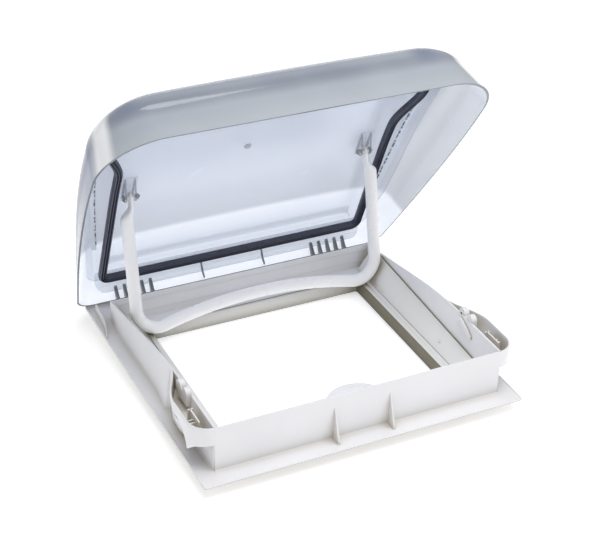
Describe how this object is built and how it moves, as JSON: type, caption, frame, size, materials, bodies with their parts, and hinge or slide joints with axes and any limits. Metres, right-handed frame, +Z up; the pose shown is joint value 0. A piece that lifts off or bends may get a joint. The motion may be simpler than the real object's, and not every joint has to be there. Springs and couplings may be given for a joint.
{
  "type": "caravan roof vent",
  "caption": "Hinged caravan roof vent cover: double acrylic lid on a moulded roof frame, with a rubber seal and a swinging bow stay that props the lid open.",
  "frame": {"origin": "centre of the bounding box's base, which is the lower rim of the neck collar, with the lid open as at rest", "axes": "+X to the right seen from the front edge, +Y from the front edge to the hinge, +Z up out of the roof"},
  "size_m": [0.63, 0.5098, 0.4769],
  "materials": {
    "white_plastic": "satin white moulded plastic",
    "grey_plastic": "matt off-white moulded plastic",
    "smoky_acrylic": "glossy translucent grey acrylic",
    "clear_acrylic": "glossy clear acrylic",
    "seal_rubber": "matt black ribbed rubber",
    "bond_tape": "grey bonding tape",
    "bow_plastic": "smooth white plastic coating",
    "steel": "zinc-plated steel"
  },
  "bodies": {
    "frame": {"roof_frame": "white_plastic", "neck_collar": "grey_plastic", "bow_rail_right": "grey_plastic", "bow_rail_left": "grey_plastic", "catch_block_right": "white_plastic", "catch_block_left": "white_plastic", "hinge_rod_right": "steel", "hinge_rod_left": "steel", "rail_screw_right_front": "steel", "rail_screw_right_rear": "steel", "rail_screw_left_front": "steel", "rail_screw_left_rear": "steel", "latch_shelf": "white_plastic"},
    "lid": {"outer_dome": "smoky_acrylic", "inner_pane": "clear_acrylic", "lid_seal": "seal_rubber", "hinge_leaf": "clear_acrylic", "vent_plug": "clear_acrylic", "bond_strip_right": "bond_tape", "bond_strip_left": "bond_tape", "bow_bracket_right": "clear_acrylic", "bow_bracket_left": "clear_acrylic", "pivot_bolt_right": "steel", "pivot_bolt_left": "steel", "pivot_nut_right": "steel", "pivot_nut_left": "steel"},
    "bow": {"bow_tube": "bow_plastic", "pivot_bush_right": "white_plastic", "pivot_bush_left": "white_plastic"},
    "right_catch": {"catch_lever_right": "white_plastic"},
    "left_catch": {"catch_lever_left": "white_plastic"},
    "button": {"latch_button": "white_plastic", "latch_spring": "steel"}
  },
  "joints": [
    {"name": "lid_hinge", "type": "hinge", "parent": "frame", "child": "lid", "pos_m": [0, 0.22506, 0.029], "axis": [1, 0, 0], "range_deg": [0, 58.5]},
    {"name": "bow_pivot", "type": "hinge", "parent": "lid", "child": "bow", "pos_m": [0, 0.17112, 0.24986], "axis": [1, 0, 0], "range_deg": [-132.1, 0]},
    {"name": "right_catch_pivot", "type": "hinge", "parent": "frame", "child": "right_catch", "pos_m": [0.227, -0.11394, 0.088], "axis": [1, 0, 0], "range_deg": [-15, 15]},
    {"name": "left_catch_pivot", "type": "hinge", "parent": "frame", "child": "left_catch", "pos_m": [-0.227, -0.11394, 0.088], "axis": [1, 0, 0], "range_deg": [-15, 15]},
    {"name": "latch_button_press", "type": "slide", "parent": "frame", "child": "button", "axis": [0, 0, 1], "range_m": [0, 0.002]}
  ],
  "couplings": [
    {"joint": "bow_pivot", "follows": "lid_hinge", "ratio": -2.2581}
  ]
}
